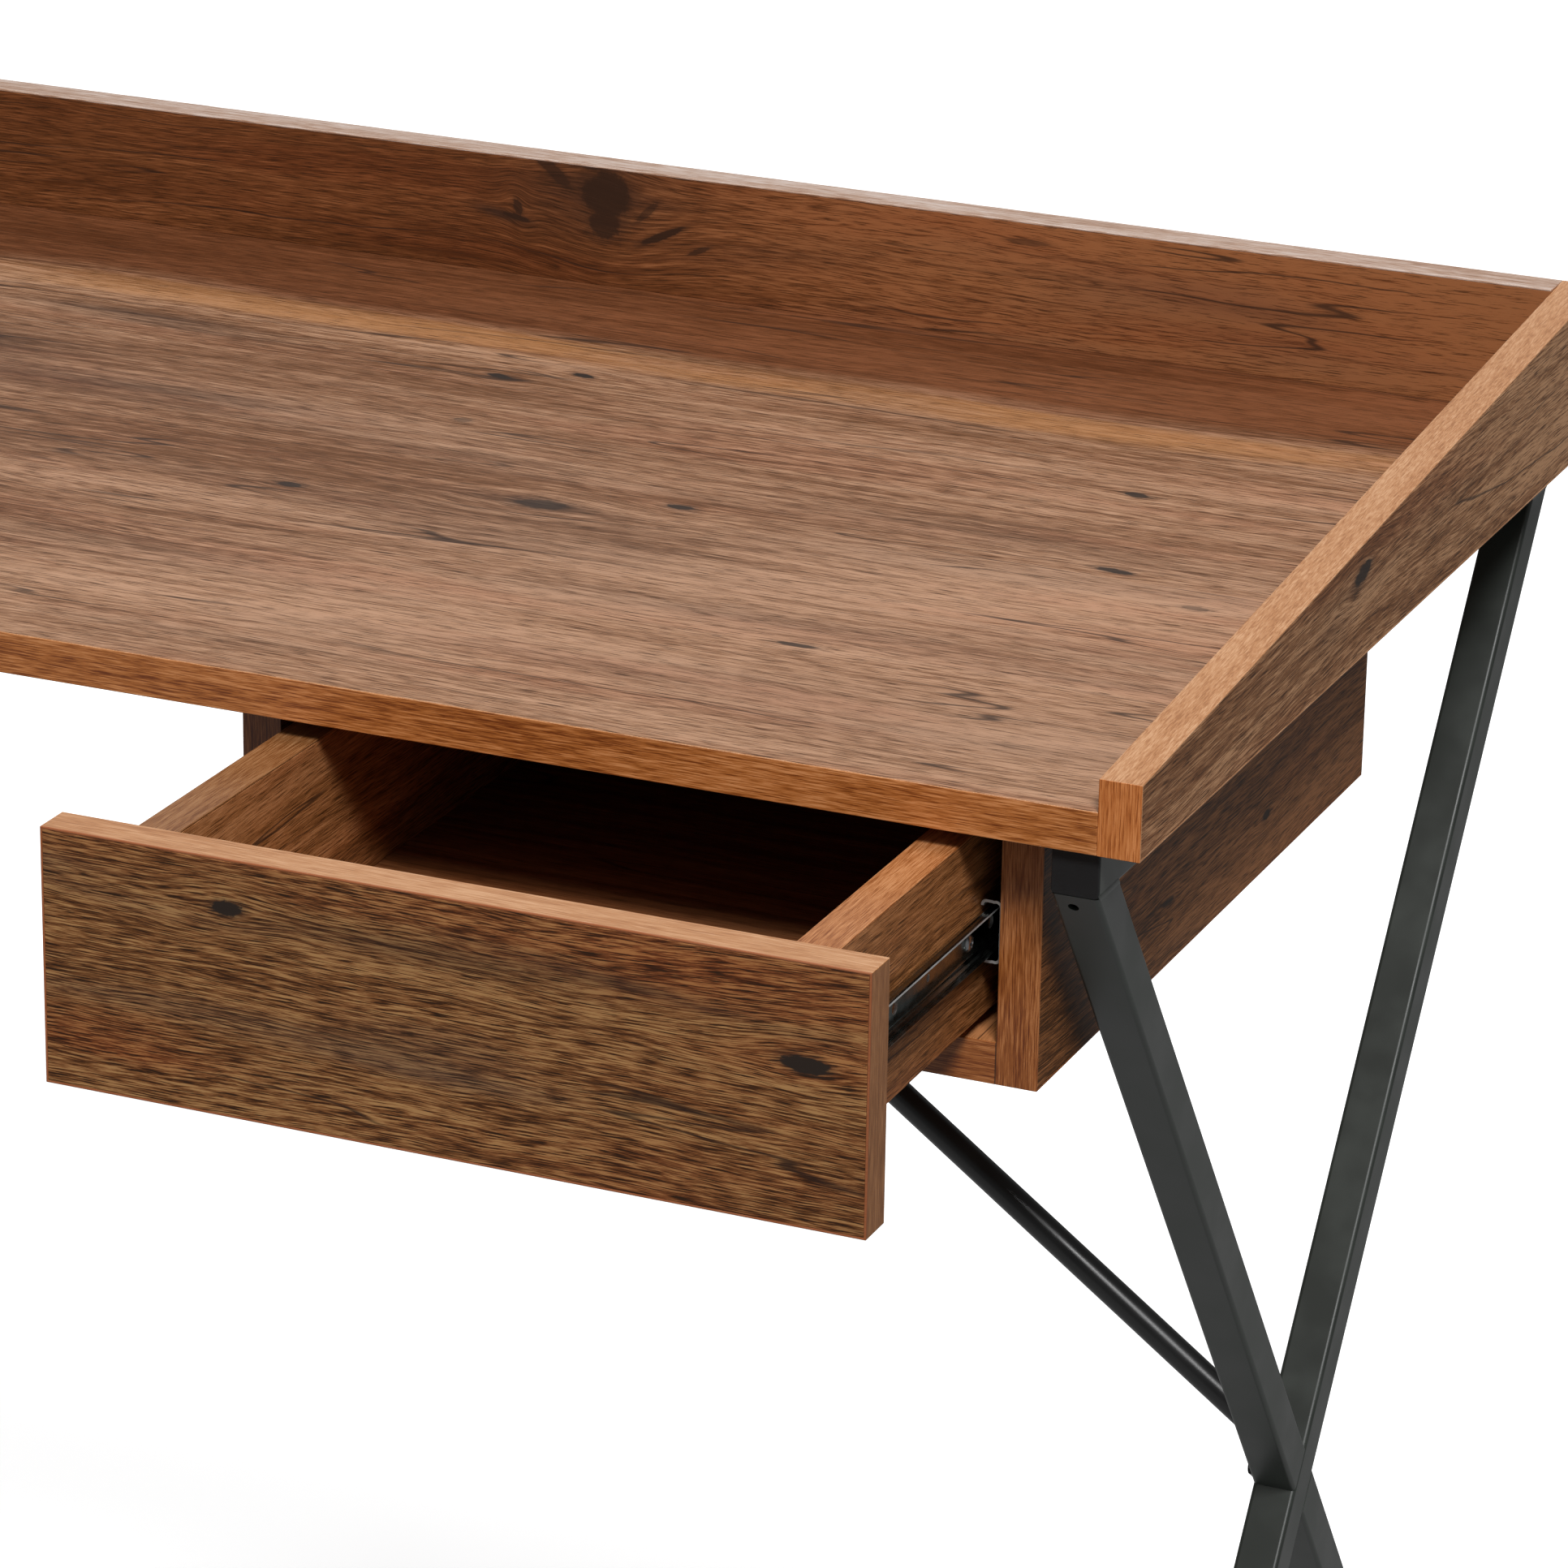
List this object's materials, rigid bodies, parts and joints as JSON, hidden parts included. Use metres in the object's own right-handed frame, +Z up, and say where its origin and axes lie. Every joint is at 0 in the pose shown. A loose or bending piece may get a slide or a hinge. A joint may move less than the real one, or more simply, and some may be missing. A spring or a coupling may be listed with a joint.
{
  "type": "writing desk",
  "caption": "Writing desk with a raised back, tapered side panels, crossed square-tube leg frames with round braces, and a drawer on ball slides under the right of the worktop.",
  "frame": {"origin": "on the floor, at the middle of the desk's width and at the middle of its depth with the drawer as pulled out as in the picture", "axes": "+X along the desk's width to the right as the user sees it, +Y from the front to the back, +Z up"},
  "size_m": [1.2, 0.7438, 0.81],
  "materials": {
    "worktop_wood": "satin laminate, rustic greyish walnut with knots",
    "back_wood": "satin laminate, dark orange-brown rustic walnut with a large knot",
    "side_wood": "satin laminate, rustic walnut",
    "case_wood": "satin laminate, rustic walnut",
    "front_wood": "satin laminate with fine ribbed grain, rustic walnut",
    "edge_band": "satin wood-grain edge band, warmer than the boards",
    "powder_coat": "satin charcoal powder coat",
    "gloss_black": "glossy black paint",
    "slide_steel": "black e-coated steel",
    "zinc": "bright zinc plating",
    "black_zinc": "black zinc plating",
    "ball_steel": "polished bearing steel",
    "beech": "plain beech",
    "black_plastic": "matte black",
    "bumper_rubber": "soft translucent grey"
  },
  "bodies": {
    "desk": {"desktop": "worktop_wood", "desktop_bands": "edge_band", "back_panel": "back_wood", "back_panel_band": "edge_band", "back_panel_screws": "zinc", "left_side_panel": "side_wood", "right_side_panel": "side_wood", "left_side_band": "edge_band", "right_side_band": "edge_band", "side_dowels": "beech", "case_left_side": "case_wood", "case_right_side": "case_wood", "case_bottom": "case_wood", "case_back": "case_wood", "case_bands": "edge_band", "case_cams": "zinc", "case_cam_bolts": "zinc", "left_top_bar": "powder_coat", "right_top_bar": "powder_coat", "left_long_leg": "powder_coat", "right_long_leg": "powder_coat", "left_upper_leg": "powder_coat", "right_upper_leg": "powder_coat", "left_lower_leg": "powder_coat", "right_lower_leg": "powder_coat", "bar_end_plugs": "black_plastic", "leg_end_plugs": "black_plastic", "levelling_feet": "black_plastic", "frame_bolts": "black_zinc", "frame_inserts": "zinc", "left_brace": "gloss_black", "right_brace": "gloss_black", "brace_bolts": "black_zinc", "brace_screws": "zinc", "left_case_slide": "slide_steel", "right_case_slide": "slide_steel", "case_slide_screws": "zinc"},
    "drawer": {"drawer_front": "front_wood", "drawer_front_band": "edge_band", "drawer_left_side": "case_wood", "drawer_right_side": "case_wood", "drawer_back": "case_wood", "drawer_bottom": "case_wood", "drawer_bands": "edge_band", "drawer_cams": "zinc", "drawer_cam_bolts": "zinc", "drawer_dowels": "beech", "drawer_screws": "zinc", "drawer_bumpers": "bumper_rubber", "left_drawer_slide": "slide_steel", "right_drawer_slide": "slide_steel", "drawer_slide_screws": "zinc"},
    "left_cage": {"left_ball_cage": "zinc", "left_slide_balls": "ball_steel"},
    "right_cage": {"right_ball_cage": "zinc", "right_slide_balls": "ball_steel"}
  },
  "joints": [
    {"name": "drawer_slide", "type": "slide", "parent": "desk", "child": "drawer", "axis": [0, -1, 0], "range_m": [-0.152, 0.098]},
    {"name": "left_cage_roll", "type": "slide", "parent": "desk", "child": "left_cage", "axis": [0, -1, 0], "range_m": [-0.0765, 0.0495]},
    {"name": "right_cage_roll", "type": "slide", "parent": "desk", "child": "right_cage", "axis": [0, -1, 0], "range_m": [-0.0765, 0.0495]}
  ],
  "couplings": [
    {"joint": "left_cage_roll", "follows": "drawer_slide", "ratio": 0.5},
    {"joint": "right_cage_roll", "follows": "drawer_slide", "ratio": 0.5}
  ]
}
